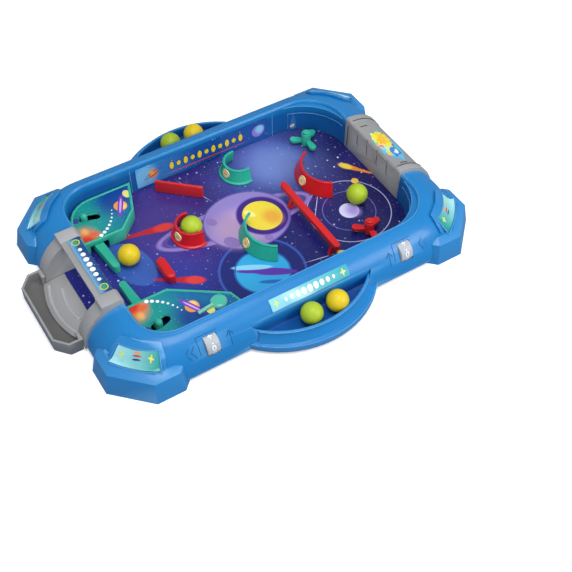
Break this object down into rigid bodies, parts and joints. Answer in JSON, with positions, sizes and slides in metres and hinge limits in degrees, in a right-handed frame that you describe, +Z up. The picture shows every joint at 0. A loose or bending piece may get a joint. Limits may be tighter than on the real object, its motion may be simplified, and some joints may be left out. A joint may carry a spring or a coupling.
{
  "type": "tabletop pinball game",
  "caption": "Tabletop marble pinball board: a rounded case round a printed field, hand-moved flippers, cups, curved walls, spinners, an outlet arch with a tray and loose balls.",
  "frame": {"origin": "on the table, under the middle of the object's outline", "axes": "+X to the long side with the score wheels, +Y along the board away from the player and the ball tray, +Z up"},
  "size_m": [0.2986, 0.3922, 0.0457],
  "materials": {
    "case_blue": "satin moulded plastic",
    "teal": "satin moulded plastic",
    "red": "satin moulded plastic",
    "grey": "matt moulded plastic",
    "dark_grey": "matt moulded plastic",
    "card_print": "laminated print",
    "label_print": "laminated print",
    "badge": "laminated print",
    "ball_green": "satin moulded plastic",
    "ball_yellow": "satin moulded plastic",
    "steel": "plain"
  },
  "bodies": {
    "case": {"arch_label": "label_print", "ball_tray": "dark_grey", "bumper_label": "label_print", "capsule_bumper": "red", "chute_ramp": "grey", "corner_foot_far_left": "case_blue", "corner_foot_far_right": "case_blue", "corner_foot_near_left": "case_blue", "corner_foot_near_right": "case_blue", "corner_label_far_left": "label_print", "corner_label_far_right": "label_print", "corner_label_near_left": "label_print", "corner_label_near_right": "label_print", "far_bumper": "grey", "flipper_cover_left": "teal", "flipper_cover_left_label": "label_print", "flipper_cover_right": "teal", "flipper_cover_right_label": "label_print", "flipper_left_pin": "steel", "flipper_right_pin": "steel", "long_bar": "red", "main_case": "case_blue", "outlet_arch": "grey", "playfield_card": "card_print", "red_arc_wall": "red", "red_arc_wall_badge": "badge", "red_cup": "red", "red_cup_badge": "badge", "red_plate": "red", "red_spinner_pin": "red", "rim_label": "label_print", "score_wheel_far_axle": "steel", "score_wheel_near_axle": "steel", "side_tray_left": "case_blue", "side_tray_right": "case_blue", "teal_arc_wall": "teal", "teal_arc_wall_badge": "badge", "teal_cup": "teal", "teal_cup_badge": "badge", "teal_spinner_pin": "teal", "wall_label": "label_print"},
    "flipper_left_body": {"flipper_left": "teal", "flipper_left_knob": "teal"},
    "flipper_right_body": {"flipper_right": "teal", "flipper_right_knob": "teal"},
    "teal_spinner_body": {"teal_spinner": "teal"},
    "red_spinner_body": {"red_spinner": "red"},
    "score_wheel_near_body": {"score_wheel_near": "grey"},
    "score_wheel_far_body": {"score_wheel_far": "grey"},
    "ball_yellow_field_body": {"ball_yellow_field": "ball_yellow"},
    "ball_green_cup_body": {"ball_green_cup": "ball_green"},
    "ball_green_field_body": {"ball_green_field": "ball_green"},
    "ball_green_near_side_body": {"ball_green_near_side": "ball_green"},
    "ball_yellow_near_side_body": {"ball_yellow_near_side": "ball_yellow"},
    "ball_green_far_side_body": {"ball_green_far_side": "ball_green"},
    "ball_yellow_far_side_body": {"ball_yellow_far_side": "ball_yellow"}
  },
  "joints": [
    {"name": "flipper_left_turn", "type": "hinge", "parent": "case", "child": "flipper_left_body", "pos_m": [-0.048, -0.11775, 0.014], "axis": [0, 0, 1], "range_deg": [-26.5, 0]},
    {"name": "flipper_right_turn", "type": "hinge", "parent": "case", "child": "flipper_right_body", "pos_m": [0.048, -0.11775, 0.014], "axis": [0, 0, 1], "range_deg": [-7.5, 19.5]},
    {"name": "teal_spinner_spin", "type": "hinge", "parent": "case", "child": "teal_spinner_body", "pos_m": [-0.06454, 0.11799, 0.016], "axis": [0, 0, 1], "continuous": true},
    {"name": "red_spinner_spin", "type": "hinge", "parent": "case", "child": "red_spinner_body", "pos_m": [0.06649, 0.10272, 0.016], "axis": [0, 0, 1], "continuous": true},
    {"name": "score_wheel_near_turn", "type": "hinge", "parent": "case", "child": "score_wheel_near_body", "pos_m": [0.10838, -0.08825, 0.02279], "axis": [0, 1, 0], "continuous": true},
    {"name": "score_wheel_far_turn", "type": "hinge", "parent": "case", "child": "score_wheel_far_body", "pos_m": [0.10838, 0.10675, 0.02279], "axis": [0, 1, 0], "continuous": true},
    {"name": "ball_yellow_field_lift", "type": "slide", "parent": "case", "child": "ball_yellow_field_body", "axis": [0, 0, 1], "range_m": [0, 0.06]},
    {"name": "ball_green_cup_lift", "type": "slide", "parent": "case", "child": "ball_green_cup_body", "axis": [0, 0, 1], "range_m": [0, 0.06]},
    {"name": "ball_green_field_lift", "type": "slide", "parent": "case", "child": "ball_green_field_body", "axis": [0, 0, 1], "range_m": [0, 0.06]},
    {"name": "ball_green_near_side_lift", "type": "slide", "parent": "case", "child": "ball_green_near_side_body", "axis": [0, 0, 1], "range_m": [0, 0.06]},
    {"name": "ball_yellow_near_side_lift", "type": "slide", "parent": "case", "child": "ball_yellow_near_side_body", "axis": [0, 0, 1], "range_m": [0, 0.06]},
    {"name": "ball_green_far_side_lift", "type": "slide", "parent": "case", "child": "ball_green_far_side_body", "axis": [0, 0, 1], "range_m": [0, 0.06]},
    {"name": "ball_yellow_far_side_lift", "type": "slide", "parent": "case", "child": "ball_yellow_far_side_body", "axis": [0, 0, 1], "range_m": [0, 0.06]}
  ]
}
